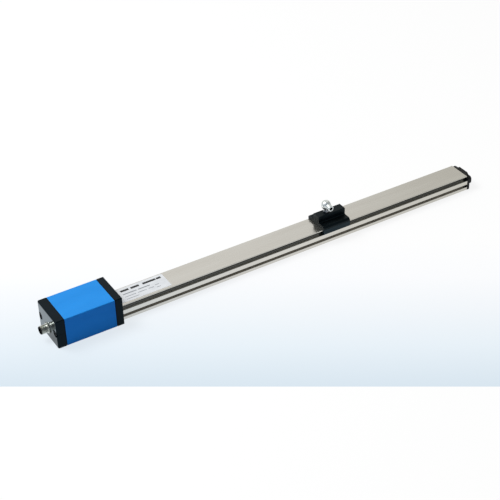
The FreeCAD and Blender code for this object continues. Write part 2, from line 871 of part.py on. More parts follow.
def carriage_outer_edges(body):
    """Long outer edges of the bevelled ledges and of the raised middle."""
    bevel_foot = carriage_ledge_height - carriage_ledge_chamfer
    found = []
    for edge in edges_along(body, V(1, 0, 0)):
        height = edge.BoundBox.ZMin
        outside = abs(edge.BoundBox.YMin) > carriage_half_width - carriage_ledge_chamfer - 1e-6
        if abs(height - carriage_top_height) < 1e-6 or abs(height - bevel_foot) < 1e-6:
            found.append(edge)
        if abs(height - carriage_ledge_height) < 1e-6 and outside:
            found.append(edge)
    return found


def pin_positions():
    """X of the two pins of each shoe."""
    return (x_carriage - shoe_pin_spacing / 2, x_carriage + shoe_pin_spacing / 2)


def shoe_pin(x, radius):
    """Cross pin of the +Y shoe."""
    return rod_y(radius, carriage_half_width - shoe_pin_length, carriage_half_width, x,
                 carriage_underside + shoe_tongue_height / 2)


def guide_shoe():
    """Sliding shoe of the +Y side: a hook in the guide slot under a tongue in the body."""
    x0, x1 = carriage_span()
    inner = half_plate + shoe_side_gap
    y0, y1 = tongue_place()
    shoe = section_bar([(carriage_half_width, carriage_underside),
                        (y1, carriage_underside),
                        (y1, carriage_underside + shoe_tongue_height),
                        (y0, carriage_underside + shoe_tongue_height),
                        (y0, carriage_underside),
                        (inner, carriage_underside),
                        (inner, plate_underside - carriage_gap),
                        (slot_wall + carriage_gap, plate_underside - carriage_gap),
                        (slot_wall + carriage_gap, side_rib_top + carriage_gap),
                        (carriage_half_width, side_rib_top + carriage_gap)], x0, x1)
    for x in pin_positions():
        shoe = shoe.cut(shoe_pin(x, shoe_pin_radius + insert_clearance / 2))
    return shoe


def guide_pins():
    """Cross pins that lock both shoes."""
    pins = []
    for x in pin_positions():
        pins += both_sides(shoe_pin(x, shoe_pin_radius))
    return Part.makeCompound(pins)


def carriage_magnets():
    """Four round magnets set into the underside of the carriage."""
    discs = []
    for i in (-1, 1):
        for j in (-1, 1):
            discs.append(rod_z(carriage_magnet_radius, carriage_underside,
                               carriage_underside + carriage_magnet_height,
                               x_carriage + i * carriage_magnet_spacing / 2,
                               j * carriage_magnet_offset))
    return Part.makeCompound(discs)


# Ball joint

def ball_stud():
    """Turned ball stud with its threaded shank in the carriage."""
    z_neck = ball_height - ball_neck_length
    shank = rod_z(stud_radius, carriage_top_height - stud_depth + stud_clearance,
                  z_neck - (stud_radius - ball_neck_radius), x_ball, 0)
    cone = Part.makeCone(stud_radius, ball_neck_radius, stud_radius - ball_neck_radius,
                         V(x_ball, 0, z_neck - (stud_radius - ball_neck_radius)))
    neck = rod_z(ball_neck_radius, z_neck, ball_height, x_ball, 0)
    ball = Part.makeSphere(ball_radius, V(x_ball, 0, ball_height))
    return shank.fuse([cone, neck, ball])


def stud_nut():
    """Hexagon nut that locks the ball stud."""
    z0 = carriage_top_height
    nut = hexagon_bar(stud_nut_flats, V(x_ball, 0, z0), stud_nut_height, V(0, 0, 1))
    round_top = Part.makeCone(stud_nut_flats / 2 + stud_nut_flare,
                              stud_nut_flats / 2 - stud_nut_crown,
                              stud_nut_height, V(x_ball, 0, z0))
    nut = nut.common(round_top)
    return nut.cut(rod_z(stud_radius + stud_clearance, z0, z0 + stud_nut_height, x_ball, 0))


def mouth_radius(depth):
    """Radius that clears the neck at full tilt, at a depth below the ball's centre."""
    tilt = math.radians(tilt_limit)
    return ball_neck_radius / math.cos(tilt) + depth * math.tan(tilt) + mouth_clearance


def liner_solid(radius):
    """Dome on a short cylinder, open downwards."""
    dome = Part.makeSphere(radius, V(x_ball, 0, ball_height))
    barrel = rod_z(radius, ball_height - socket_mouth_depth + socket_lip, ball_height,
                   x_ball, 0)
    below = block(x_ball - 2 * radius, x_ball + 2 * radius, -2 * radius, 2 * radius,
                  ball_height - 2 * radius, ball_height)
    return dome.cut(below).fuse(barrel)


def mouth_cone():
    """Cone that clears the neck of the stud at full tilt."""
    low = ball_height - socket_mouth_depth
    high = ball_height - mouth_cone_start
    return Part.makeCone(mouth_radius(socket_mouth_depth), mouth_radius(mouth_cone_start),
                         high - low, V(x_ball, 0, low))


def socket_liner():
    """Plastic cup that runs on the ball."""
    liner = liner_solid(liner_radius)
    liner = liner.cut(Part.makeSphere(ball_radius + swivel_clearance, V(x_ball, 0, ball_height)))
    return liner.cut(mouth_cone())


def rod_end():
    """Plated socket head with a threaded shank to one side."""
    head = Part.makeSphere(socket_radius, V(x_ball, 0, ball_height))
    reach = 2 * socket_radius
    keep = block(x_ball - reach, x_ball + reach, -reach, reach,
                 ball_height - socket_mouth_depth, ball_height + socket_radius - socket_top_cut)
    head = head.common(keep)
    shank = rod_y(shank_radius, -shank_reach, 0, x_ball, ball_height)
    end = [e for e in shank.Edges if e.BoundBox.YMax < -shank_reach + 1e-6]
    shank = shank.makeChamfer(shank_edge, end)
    body = head.fuse(shank)
    body = body.cut(liner_solid(liner_radius + liner_clearance))
    body = body.cut(mouth_cone())
    return body.cut(rod_y(thread_bore_radius, -shank_reach, -shank_reach + thread_bore_depth,
                          x_ball, ball_height))


def main():
    os.makedirs("parts", exist_ok=True)
    export(housing_body(), "housing_body")
    export(front_cap(), "front_cap")
    export(rear_cap(), "rear_cap")
    export(housing_gasket(x_front_seam, x_body_front), "front_gasket")
    export(housing_gasket(x_body_back, x_rear_seam), "rear_gasket")
    export(front_cap_screws(), "front_cap_screws")
    export(rear_cap_screws(), "rear_cap_screws")
    export(rail_extrusion(), "rail_extrusion")
    export(rail_screws(), "rail_screws")
    export(end_gasket(), "end_gasket")
    export(rail_end_cap(), "rail_end_cap")
    export(end_cap_screws(), "end_cap_screws")
    export(rating_plate(), "rating_plate")
    export(sensing_tube(), "sensing_tube")
    export(waveguide_spacers(), "waveguide_spacers")
    export(waveguide_damper(), "waveguide_damper")
    export(waveguide(), "waveguide")
    export(return_wire(), "return_wire")
    export(tube_seal(), "tube_seal")
    export(pickup_frame(), "pickup_frame")
    export(pickup_coil(), "pickup_coil")
    export(bias_magnet_bar(), "bias_magnet")
    export(pickup_screws(), "pickup_screws")
    export(main_board(), "main_board")
    export(capacitors(), "capacitors")
    export(inductor(), "inductor")
    export(processor(), "processor")
    export(board_header(), "board_header")
    export(connector_shell(), "connector_shell")
    export(connector_insert(), "connector_insert")
    export(connector_pins(), "connector_pins")
    export(connector_seal(), "connector_seal")
    export(connector_nut(), "connector_nut")
    export(carriage_body(), "carriage_body")
    shoe = guide_shoe()
    export(shoe, "guide_shoe_back")
    export(both_sides(shoe)[1], "guide_shoe_front")
    export(guide_pins(), "guide_pins")
    export(carriage_magnets(), "carriage_magnets")
    export(ball_stud(), "ball_stud")
    export(stud_nut(), "stud_nut")
    export(socket_liner(), "socket_liner")
    export(rod_end(), "rod_end")


main()
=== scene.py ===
# %% [markdown]
# # A linear displacement sensor
#
# The object is a long aluminium rail with a blue electronics housing at its near end. A black
# carriage slides on the rail and carries a ball joint, and a round cable connector sticks out of
# the housing. The CAD model gives every solid its shape and place. This file gives each one its
# finish, and models the small forms that only the looks need: the threads, the hexagon of the
# connector and the plate with its printed bars.

# %% Load the frame
import bpy
import bmesh
import math
from mathutils import Matrix, Vector


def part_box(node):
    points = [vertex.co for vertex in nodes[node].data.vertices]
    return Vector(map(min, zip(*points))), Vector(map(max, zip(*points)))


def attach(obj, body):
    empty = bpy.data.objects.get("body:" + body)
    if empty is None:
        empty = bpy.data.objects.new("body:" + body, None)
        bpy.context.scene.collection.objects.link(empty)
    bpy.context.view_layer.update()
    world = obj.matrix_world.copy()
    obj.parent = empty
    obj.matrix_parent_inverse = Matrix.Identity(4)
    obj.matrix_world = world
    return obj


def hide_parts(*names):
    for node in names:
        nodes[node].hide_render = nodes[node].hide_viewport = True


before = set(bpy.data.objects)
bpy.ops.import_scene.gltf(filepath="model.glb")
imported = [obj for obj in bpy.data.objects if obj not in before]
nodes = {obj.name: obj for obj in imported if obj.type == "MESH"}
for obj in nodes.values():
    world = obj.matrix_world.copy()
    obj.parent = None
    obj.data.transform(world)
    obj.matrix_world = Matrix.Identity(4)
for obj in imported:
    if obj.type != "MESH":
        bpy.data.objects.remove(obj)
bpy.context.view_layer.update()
bpy.ops.object.select_all(action="DESELECT")

# %% [markdown]
# ## The camera
#
# Parallel edges hardly meet in the photograph, as they do from far off with a long lens. The camera
# could be placed by eye, but a fit of the object's own straight edges gives its place, turn and
# focal length to about a pixel, and those numbers are used here.

# %% Camera
bpy.ops.object.camera_add(
    location=(-0.80942, -1.34414, 1.11957),
    rotation=(math.radians(54.73247), math.radians(1.5291), math.radians(-31.24752)))
camera = bpy.context.object
camera.name = "photo_camera"
camera.data.sensor_width = 36.0
camera.data.lens = 98.811
camera.data.clip_start = 0.05
camera.data.clip_end = 60.0
bpy.context.scene.camera = camera
bpy.context.view_layer.update()
print("camera distance to the object's middle:", round(camera.location.length, 3), "m")

# %% [markdown]
# ## Reading the backdrop off the camera
#
# The picture's ground runs from white at the top to a pale blue, and turns white again below a
# level line. That is a finish of the floor. To find where the line lies on the floor, a ray is
# sent from the camera through a point of the picture and cut with the plane z = 0.

# %% Where a picture point meets the floor
picture_size = 500.0
line_v = 386.6       # the level line, in pixels from the picture's top
white_v = 240        # where the ground beyond the line has turned white


def floor_point(u, v):
    """Point of the floor that shows at pixel (u, v) of the picture."""
    reach = camera.data.lens / camera.data.sensor_width
    ray = Vector((u / picture_size - 0.5, 0.5 - v / picture_size, -reach))
    ray = camera.matrix_world.to_3x3() @ ray
    start = camera.matrix_world.translation
    return start - ray * (start.z / ray.z)


edge_left = floor_point(0, line_v)
edge_right = floor_point(picture_size, line_v)
edge_far = floor_point(picture_size / 2, white_v)
along_edge = (edge_right - edge_left).normalized()
away = Vector((-along_edge.y, along_edge.x, 0))
edge_offset = away.dot(edge_left)
fade_length = away.dot(edge_far) - edge_offset
print("the line lies", round(edge_offset, 3), "m along", [round(v, 3) for v in away],
      "and fades over", round(fade_length, 3), "m")

# %% [markdown]
# ## Small helpers for node materials
#
# A finish is a Principled shader with patterns on its colour, roughness and bump. Every pattern
# reads Object coordinates. The nodes sit at the origin with their place in their mesh, so these
# coordinates are metres in the frame of the whole object, and a scale of 1000 means one cell of
# pattern for each millimetre.

# %% Materials and nodes
def new_finish(name, **constants):
    """A material with its Principled shader; constants go on the shader's own sockets."""
    material = bpy.data.materials.new(name)
    material.use_nodes = True
    shader = material.node_tree.nodes["Principled BSDF"]
    for socket, value in constants.items():
        shader.inputs[socket.replace("_", " ")].default_value = value
    return material, material.node_tree, shader


def add_node(tree, kind, **settings):
    """A node of that kind. Settings are its properties, or its inputs by name."""
    node = tree.nodes.new(kind)
    for key, value in settings.items():
        if hasattr(node, key):
            setattr(node, key, value)
        else:
            node.inputs[key.replace("_", " ")].default_value = value
    return node


print("materials and nodes can be made")

# %% Patterns
def object_pattern(tree, stretch):
    """Object coordinates, scaled along each axis."""
    place = add_node(tree, "ShaderNodeTexCoord")
    mapping = add_node(tree, "ShaderNodeMapping")
    mapping.inputs["Scale"].default_value = stretch
    tree.links.new(place.outputs["Object"], mapping.inputs["Vector"])
    return mapping.outputs["Vector"]


def noise(tree, stretch, detail=3.0, roughness=0.55):
    """Noise on Object coordinates, from 0 to 1."""
    node = add_node(tree, "ShaderNodeTexNoise", Scale=1.0, Detail=detail, Roughness=roughness)
    tree.links.new(object_pattern(tree, stretch), node.inputs["Vector"])
    return node.outputs["Fac"]


def spread(tree, value, low, high, start=0.3, end=0.7):
    """Maps a pattern's middle range onto low to high."""
    node = add_node(tree, "ShaderNodeMapRange")
    for socket, number in zip(("From Min", "From Max", "To Min", "To Max"),
                              (start, end, low, high)):
        node.inputs[socket].default_value = number
    tree.links.new(value, node.inputs["Value"])
    return node.outputs["Result"]


print("patterns ready")

# %% What a pattern drives
def two_tones(tree, value, dark, light):
    """Colour between two tones, by a pattern."""
    ramp = add_node(tree, "ShaderNodeValToRGB")
    ramp.color_ramp.elements[0].position = 0.3
    ramp.color_ramp.elements[1].position = 0.7
    ramp.color_ramp.elements[0].color = (*dark, 1)
    ramp.color_ramp.elements[1].color = (*light, 1)
    tree.links.new(value, ramp.inputs["Fac"])
    return ramp.outputs["Color"]


def bump(tree, shader, value, strength, height):
    """Bump of a height in metres from a pattern."""
    node = add_node(tree, "ShaderNodeBump", Strength=strength, Distance=height)
    tree.links.new(value, node.inputs["Height"])
    tree.links.new(node.outputs["Normal"], shader.inputs["Normal"])


def srgb(red, green, blue):
    """A colour as the photograph's values, made linear."""
    return tuple(((c / 255 + 0.055) / 1.055) ** 2.4 if c > 10 else c / 255 / 12.92
                 for c in (red, green, blue))


print("tones and bump ready")

# %% The common finish
def common_finish(name, dark, light, stretch, rough, grain, grain_stretch, grain_height, **constants):
    """The common recipe: broad colour variation, uneven gloss, and a fine grain in the bump."""
    material, tree, shader = new_finish(name, **constants)
    broad = noise(tree, stretch)
    tree.links.new(two_tones(tree, broad, dark, light), shader.inputs["Base Color"])
    fine = noise(tree, grain_stretch, detail=2.0)
    tree.links.new(spread(tree, fine, *rough), shader.inputs["Roughness"])
    bump(tree, shader, fine, grain, grain_height)
    return material


print("the common finish is ready")

# %% [markdown]
# ## Anodised aluminium
#
# The rail and the housing's body are extrusions. The die leaves fine straight lines along them,
# and the anodic layer over it is satin. A noise stretched by a hundred along X gives the lines. The
# blue body is set as a coloured coat with little shine. The clear rail is set as a metal, because
# in the photograph it mirrors what stands on it.

# %% Extruded and anodised finishes
cool = (0.5, 0.85, 1.0, 1.0)
blue_anodised = common_finish(
    "blue_anodised", srgb(30, 135, 219), srgb(36, 143, 228), (14, 40, 40), (0.4, 0.5),
    0.25, (9, 1900, 1900), 0.00002, Metallic=0.0, Specular_IOR_Level=0.12)
clear_anodised = common_finish(
    "clear_anodised", srgb(212, 209, 201), srgb(219, 217, 210), (5, 60, 60), (0.2, 0.28),
    0.12, (11, 1700, 1700), 0.00001, Metallic=1.0, Specular_IOR_Level=0.4)
black_anodised = common_finish(
    "black_anodised", srgb(5, 8, 10), srgb(9, 13, 16), (60, 90, 90), (0.34, 0.44),
    0.25, (60, 2400, 2400), 0.000015, Specular_IOR_Level=0.15, Specular_Tint=cool)
print("extruded finishes:", blue_anodised.name, clear_anodised.name, black_anodised.name)

# %% [markdown]
# ## Coated and moulded black parts
#
# The caps are taken as castings under a smooth coat, with a faint orange peel. The rail's end cap
# and the carriage's shoes are taken as moulded plastic with a finer, duller grain. Rubber is the
# dullest of all.

# %% Black finishes
cap_dark, cap_light = srgb(4, 11, 17), srgb(8, 16, 24)
black_coated = common_finish(
    "black_coated", cap_dark, cap_light, (70, 70, 70), (0.26, 0.36),
    0.12, (900, 900, 900), 0.00004, Specular_IOR_Level=0.12, Specular_Tint=cool)
black_moulded = common_finish(
    "black_moulded", srgb(12, 13, 14), srgb(19, 21, 22), (90, 90, 90), (0.4, 0.52),
    0.3, (2600, 2600, 2600), 0.00003, Specular_IOR_Level=0.2)
shoe_plastic = common_finish(
    "shoe_plastic", srgb(26, 36, 40), srgb(34, 45, 50), (80, 80, 80), (0.42, 0.55),
    0.3, (2600, 2600, 2600), 0.00003, Specular_IOR_Level=0.25, Specular_Tint=cool)
black_rubber = common_finish(
    "black_rubber", srgb(9, 9, 10), srgb(15, 15, 16), (120, 120, 120), (0.6, 0.75),
    0.4, (3000, 3000, 3000), 0.00003, Specular_IOR_Level=0.15)
print("black finishes ready")

# %% [markdown]
# ## Masks
#
# Some finishes change from place to place on one part. A painted image could hold that, but a mask
# made of distances needs no picture and stays sharp from close by. A mask is a pattern that is 1 in
# one region and 0 elsewhere. The product of masks is 1 where all of them hold, the largest of them
# is 1 where any of them holds, and a mask mixes two tones.

# %% Helpers that join patterns
def joined(tree, operation, first, *others):
    """Patterns joined one after the other by Math nodes."""
    for other in others:
        node = add_node(tree, "ShaderNodeMath", operation=operation)
        tree.links.new(first, node.inputs[0])
        tree.links.new(other, node.inputs[1])
        first = node.outputs[0]
    return first


def all_of(tree, *masks):
    """1 where all the masks are 1."""
    return joined(tree, "MULTIPLY", *masks)


def any_of(tree, *masks):
    """1 where any of the masks is 1."""
    return joined(tree, "MAXIMUM", *masks)


def mix_tones(tree, mask, first, second):
    """First colour where the mask is 0, second where it is 1."""
    node = add_node(tree, "ShaderNodeMix", data_type="RGBA")
    tree.links.new(mask, node.inputs["Factor"])
    tree.links.new(first, node.inputs[6])
    tree.links.new(second, node.inputs[7])
    return node.outputs[2]


print("patterns can be joined and mixed")

# %% Masks by place
def split_axes(tree, vector):
    """X, Y and Z of a vector, as three patterns."""
    axes = add_node(tree, "ShaderNodeSeparateXYZ")
    tree.links.new(vector, axes.inputs["Vector"])
    return axes.outputs["X"], axes.outputs["Y"], axes.outputs["Z"]


def object_axes(tree):
    """X, Y and Z of the Object coordinates, in metres."""
    return split_axes(tree, add_node(tree, "ShaderNodeTexCoord").outputs["Object"])


def above(tree, value, limit, soft=0.0001):
    """1 above a limit and 0 below it. The edge is soft this far to each side."""
    return spread(tree, value, 0.0, 1.0, limit - soft, limit + soft)


def below(tree, value, limit, soft=0.0001):
    """1 below a limit and 0 above it. The edge is soft this far to each side."""
    return spread(tree, value, 1.0, 0.0, limit - soft, limit + soft)


def inside_band(tree, value, low, high):
    """1 where a value lies between two limits."""
    return all_of(tree, above(tree, value, low), below(tree, value, high))


def distance_from(tree, a, a0, b, b0):
    """Distance from the line through (a0, b0), seen along the third axis."""
    squares = []
    for value, centre in ((a, a0), (b, b0)):
        offset = add_node(tree, "ShaderNodeMath", operation="SUBTRACT")
        offset.inputs[1].default_value = centre
        tree.links.new(value, offset.inputs[0])
        squares.append(joined(tree, "MULTIPLY", offset.outputs[0], offset.outputs[0]))
    root = add_node(tree, "ShaderNodeMath", operation="SQRT")
    tree.links.new(joined(tree, "ADD", *squares), root.inputs[0])
    return root.outputs[0]


print("masks can be made from limits, bands and distances")

# %% [markdown]
# ## The rail's grooves
#
# In the photograph the guide slots and the clamp grooves are darker than the rail's outside, and the
# rail's far end is a little darker than its middle. A narrow groove does part of that by itself,
# because it sees little of the sky. The rest is painted shade: darker tones are mixed into the rail's
# colour by the place along the rail, the distance from its middle and the height.

# %% Where the rail is darker
slot_y, slot_z = (0.0130, 0.0142), (0.0155, 0.0214)        # the guide slots' walls
groove_y, groove_z = (0.0150, 0.0192), (0.0046, 0.0091)    # the clamp grooves
end_fade_x = (-0.03, 0.34)                                 # from the rail's own tone to the painted shade at its far end
tree = clear_anodised.node_tree
shader = tree.nodes["Principled BSDF"]
x, y, z = object_axes(tree)
either_side = add_node(tree, "ShaderNodeMath", operation="ABSOLUTE")
tree.links.new(y, either_side.inputs[0])
across = either_side.outputs[0]
slot_walls = all_of(tree, inside_band(tree, across, *slot_y), inside_band(tree, z, *slot_z))
clamp_grooves = all_of(tree, inside_band(tree, across, *groove_y),
                       inside_band(tree, z, *groove_z))
to_end = spread(tree, x, 0.0, 1.0, *end_fade_x)
print("slots, grooves and far end marked out")

# %% Painted shade on the rail
lines = noise(tree, (11, 900, 900))
slot_painted_shade = two_tones(tree, lines, srgb(120, 118, 112), srgb(138, 136, 129))
groove_painted_shade = two_tones(tree, lines, srgb(172, 168, 160), srgb(186, 182, 174))
far_end_painted_shade = two_tones(tree, noise(tree, (5, 60, 60)), srgb(194, 191, 182), srgb(201, 199, 190))
satin = shader.inputs["Base Color"].links[0].from_socket
# painted shade: darker tones mixed into the rail's colour in the slots, the grooves and towards the
# far end
for mask, tone in ((to_end, far_end_painted_shade), (slot_walls, slot_painted_shade), (clamp_grooves, groove_painted_shade)):
    satin = mix_tones(tree, mask, satin, tone)
tree.links.new(satin, shader.inputs["Base Color"])
print("rail finish:", len(tree.nodes), "nodes")

# %% [markdown]
# ## The front cap's face
#
# In the photograph the side of the front cap that carries the connector is grey, and a second image
# of the connector shows in it, so it is taken to be polished and to mirror the pale floor. The
# rounded rim, a strip along the top edge, the recesses and a narrow ring round each of them are dull
# black. The part below the connector, on the camera's side, is darker: its colour there has painted
# shade mixed in, and it is only half metallic. One material does all this. The object-space normal
# picks the faces that look along -X, and there the shader turns metallic and glossy.

# %% Where the front cap is polished
screw_head_radius, dull_ring_radius, dull_strip, face_depth = 0.0035, 0.0055, 0.0024, 0.0005
flat_normal, rim_normal = -0.995, -0.97       # the normal's X: polished up to the first of these
front_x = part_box("front_cap")[0].x
recess_low, recess_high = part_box("front_cap_screws")
recess_y = (recess_high.y - recess_low.y) / 2 - screw_head_radius
recess_z = (recess_high.z + recess_low.z) / 2
front_cap_finish, tree, shader = new_finish("front_cap_finish")
x, y, z = object_axes(tree)
normal_x = split_axes(tree, add_node(tree, "ShaderNodeTexCoord").outputs["Normal"])[0]
faces_front = spread(tree, normal_x, 1.0, 0.0, flat_normal, rim_normal)
at_front = below(tree, x, front_x + face_depth)
below_strip = below(tree, z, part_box("front_cap")[1].z - dull_strip)
outside_rings = all_of(tree, *(
    above(tree, distance_from(tree, y, side, z, recess_z), dull_ring_radius, 0.0002)
    for side in (-recess_y, recess_y)))
polished = all_of(tree, faces_front, at_front, outside_rings, below_strip)
print("front face at x =", round(front_x, 5), "recesses at y = +-", round(recess_y, 4))

# %% Tones of the front cap
shaded_z, shaded_y = (0.016, 0.026), (0.002, 0.012)    # from full shade to none
broad = noise(tree, (90, 90, 90))
coat_tone = two_tones(tree, noise(tree, (70, 70, 70)), cap_dark, cap_light)
clear_tone = two_tones(tree, broad, srgb(84, 96, 101), srgb(94, 106, 111))
# painted shade: darker tone for the part below the connector
shade_tone = two_tones(tree, broad, srgb(34, 43, 43), srgb(44, 53, 53))
shaded = all_of(tree, spread(tree, z, 1.0, 0.0, *shaded_z), spread(tree, y, 1.0, 0.0, *shaded_y))
mirror_tone = mix_tones(tree, shaded, clear_tone, shade_tone)
face_tone = mix_tones(tree, polished, coat_tone, mirror_tone)
tree.links.new(face_tone, shader.inputs["Base Color"])
print("front cap tones: coat, clear and shaded")

# %% Gloss of the front cap
full_to_half = spread(tree, shaded, 1.0, 0.5, 0.0, 1.0)
tree.links.new(all_of(tree, polished, full_to_half), shader.inputs["Metallic"])
dull_in_rings = spread(tree, outside_rings, 0.0, 0.12, 0.0, 1.0)
tree.links.new(dull_in_rings, shader.inputs["Specular IOR Level"])
sheen = add_node(tree, "ShaderNodeMix", data_type="RGBA")
sheen.inputs[6].default_value = cool
sheen.inputs[7].default_value = (1, 1, 1, 1)
tree.links.new(polished, sheen.inputs["Factor"])
tree.links.new(sheen.outputs[2], shader.inputs["Specular Tint"])
peel = noise(tree, (900, 900, 900), detail=2.0)
gloss = add_node(tree, "ShaderNodeMix", data_type="FLOAT")
tree.links.new(polished, gloss.inputs["Factor"])
tree.links.new(spread(tree, peel, 0.28, 0.36), gloss.inputs[2])
tree.links.new(spread(tree, peel, 0.08, 0.13), gloss.inputs[3])
tree.links.new(gloss.outputs[0], shader.inputs["Roughness"])
bump(tree, shader, peel, 0.12, 0.00004)
print("front cap finish:", len(tree.nodes), "nodes")

# %% [markdown]
# ## Bright parts with dark insides
#
# In the photograph the mouth of the receptacle and the tapped hole of the rod end are dark, and no
# pin ends show on the shoes. So each of these bright parts gets a dark place: painted shade in the
# receptacle's bore, across its end face and round its mouth, and in the tapped hole, and dark ends on
# the pins. Each is one metal material with a mask: distance from an axis, or place along one.

# %% A metal with a dark part
def metal_with_dark(name, metal, dark, rough, mask_of):
    """A bright metal made dark and dull where a mask is 1; this paints shade into the bore and the
    tapped hole, and darkens the pin ends.
    """
    material, tree, shader = new_finish(name)
    mask = mask_of(tree, *object_axes(tree))
    broad = noise(tree, (300, 300, 300))
    tone = mix_tones(tree, mask, two_tones(tree, broad, *metal), two_tones(tree, broad, *dark))
    tree.links.new(tone, shader.inputs["Base Color"])
    tree.links.new(spread(tree, mask, 1.0, 0.0, 0.0, 1.0), shader.inputs["Metallic"])
    tree.links.new(spread(tree, mask, 0.5, 0.05, 0.0, 1.0), shader.inputs["Specular IOR Level"])
    fine = noise(tree, (1500, 1500, 1500), detail=2.0)
    tree.links.new(spread(tree, fine, *rough), shader.inputs["Roughness"])
    bump(tree, shader, fine, 0.1, 0.00001)
    return material


print("a metal can have a dark part")

# %% Where the bright parts are dark
sharp = 0.00005                                      # these masks have sharper edges
connector_z = 0.0169                                 # height of the connector's axis
mouth_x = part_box("connector_shell")[0].x
shaded_bore_radius, shaded_mouth_x = 0.00475, mouth_x + 0.00125  # painted shade in the bore reaches this radius; the painted shade round the mouth ends at this x
liner_low, liner_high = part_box("socket_liner")
hole_x, hole_z = (liner_low.x + liner_high.x) / 2, 0.0496    # axis of the tapped hole
dark_hole_radius, dark_hole_y = 0.00265, -0.00555    # radius and inner end of the painted shade in the hole
pin_end_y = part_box("guide_pins")[1].y
dark_pin_y = pin_end_y - 0.00025                     # the pins are dark from here outwards


def near_line(tree, a, a0, b, b0, radius):
    """1 within a radius of a line, 0 outside."""
    return below(tree, distance_from(tree, a, a0, b, b0), radius, sharp)


def receptacle_mask(tree, x, y, z):
    """Painted shade of the receptacle: its bore, its end face and a band round its mouth."""
    bore = near_line(tree, y, 0.0, z, connector_z, shaded_bore_radius)
    return any_of(tree, bore, below(tree, x, shaded_mouth_x, sharp))


def tapped_hole_mask(tree, x, y, z):
    """Painted shade in the tapped hole of the shank and its countersink."""
    hole = near_line(tree, x, hole_x, z, hole_z, dark_hole_radius)
    return all_of(tree, hole, below(tree, y, dark_hole_y, sharp))


def pin_end_mask(tree, x, y, z):
    """The ends of the guide pins, at both sides of the carriage."""
    return any_of(tree, above(tree, y, dark_pin_y, sharp), below(tree, y, -dark_pin_y, sharp))


print("dark parts: mouth at x =", round(mouth_x, 4), "hole at", round(hole_x, 5), hole_z,
      "pin ends at y =", round(pin_end_y, 4))

# %% Bright finishes with a dark part
# painted shade for the bore and the tapped hole, and the dark tone of the pin ends
painted_shade_and_dark_pins = (srgb(8, 9, 10), srgb(14, 16, 18))
receptacle_finish = metal_with_dark(
    "receptacle_finish", (srgb(186, 188, 180), srgb(204, 206, 198)), painted_shade_and_dark_pins,
    (0.26, 0.36), receptacle_mask)
rod_end_finish = metal_with_dark(
    "rod_end_finish", (srgb(216, 222, 221), srgb(232, 237, 237)), painted_shade_and_dark_pins,
    (0.34, 0.44), tapped_hole_mask)
pin_finish = metal_with_dark(
    "pin_finish", (srgb(150, 150, 148), srgb(176, 176, 174)), painted_shade_and_dark_pins,
    (0.3, 0.4), pin_end_mask)
print("finishes:", receptacle_finish.name, rod_end_finish.name, pin_finish.name)

# %% [markdown]
# ## Metals of the small parts
#
# The ball stud and its nut are bright steel, and the connector's nut is plated and a little warmer.
# Most of these have Metallic at 1, and only their roughness and tint differ. The screws have a
# dull dark coat, and the magnets are half metallic.

# %% Plated and bright metals
plated = common_finish(
    "plated", srgb(196, 196, 188), srgb(214, 214, 206), (250, 250, 250), (0.14, 0.24),
    0.15, (1800, 1800, 1800), 0.00001, Metallic=1.0)
ball_steel = common_finish(
    "ball_steel", srgb(168, 170, 172), srgb(190, 192, 194), (300, 300, 300), (0.12, 0.2),
    0.1, (1500, 1500, 1500), 0.00001, Metallic=1.0)
stainless = common_finish(
    "stainless", srgb(150, 150, 148), srgb(176, 176, 174), (100, 300, 300), (0.25, 0.36),
    0.2, (90, 2000, 2000), 0.00001, Metallic=1.0)
dark_screw = common_finish(
    "dark_screw", srgb(10, 11, 12), srgb(18, 19, 21), (400, 400, 400), (0.3, 0.42),
    0.3, (2500, 2500, 2500), 0.00002, Specular_IOR_Level=0.1)
gold_pin = common_finish(
    "gold_pin", srgb(196, 158, 84), srgb(222, 184, 108), (500, 500, 500), (0.15, 0.25),
    0.1, (2000, 2000, 2000), 0.00001, Metallic=1.0)
copper = common_finish(
    "copper", srgb(168, 96, 58), srgb(196, 120, 78), (60, 900, 900), (0.28, 0.4),
    0.3, (40, 6000, 6000), 0.00003, Metallic=1.0)
waveguide_alloy = common_finish(
    "waveguide_alloy", srgb(150, 148, 142), srgb(176, 174, 168), (40, 900, 900), (0.25, 0.35),
    0.2, (60, 3000, 3000), 0.00001, Metallic=1.0)
magnet = common_finish(
    "magnet", srgb(66, 66, 68), srgb(88, 88, 90), (500, 500, 500), (0.4, 0.55),
    0.4, (3000, 3000, 3000), 0.00003, Metallic=0.5)
can_metal = common_finish(
    "can_metal", srgb(140, 142, 144), srgb(168, 170, 172), (300, 300, 60), (0.3, 0.4),
    0.2, (2500, 2500, 80), 0.00002, Metallic=1.0)
print("metals ready")

# %% [markdown]
# ## Finishes inside the housing
#
# Nothing of the board or the pickup shows from outside. They still get plain working finishes,
# so that a cut or an exploded view looks right.

# %% Inner finishes
board_green = common_finish(
    "board_green", srgb(22, 92, 48), srgb(34, 116, 62), (300, 300, 300), (0.3, 0.42),
    0.3, (1200, 1200, 1200), 0.00003, Specular_IOR_Level=0.5)
component_black = common_finish(
    "component_black", srgb(24, 24, 26), srgb(40, 40, 42), (400, 400, 400), (0.5, 0.62),
    0.4, (4000, 4000, 4000), 0.00003, Specular_IOR_Level=0.4)
header_plastic = common_finish(
    "header_plastic", srgb(206, 204, 192), srgb(224, 222, 210), (200, 200, 200), (0.45, 0.55),
    0.3, (2500, 2500, 2500), 0.00002, Specular_IOR_Level=0.45)
frame_plastic = common_finish(
    "frame_plastic", srgb(188, 184, 170), srgb(208, 204, 190), (150, 150, 150), (0.45, 0.55),
    0.3, (2500, 2500, 2500), 0.00002, Specular_IOR_Level=0.45)
insulator = common_finish(
    "insulator", srgb(20, 20, 22), srgb(32, 32, 34), (250, 250, 250), (0.4, 0.5),
    0.3, (2500, 2500, 2500), 0.00002, Specular_IOR_Level=0.4)
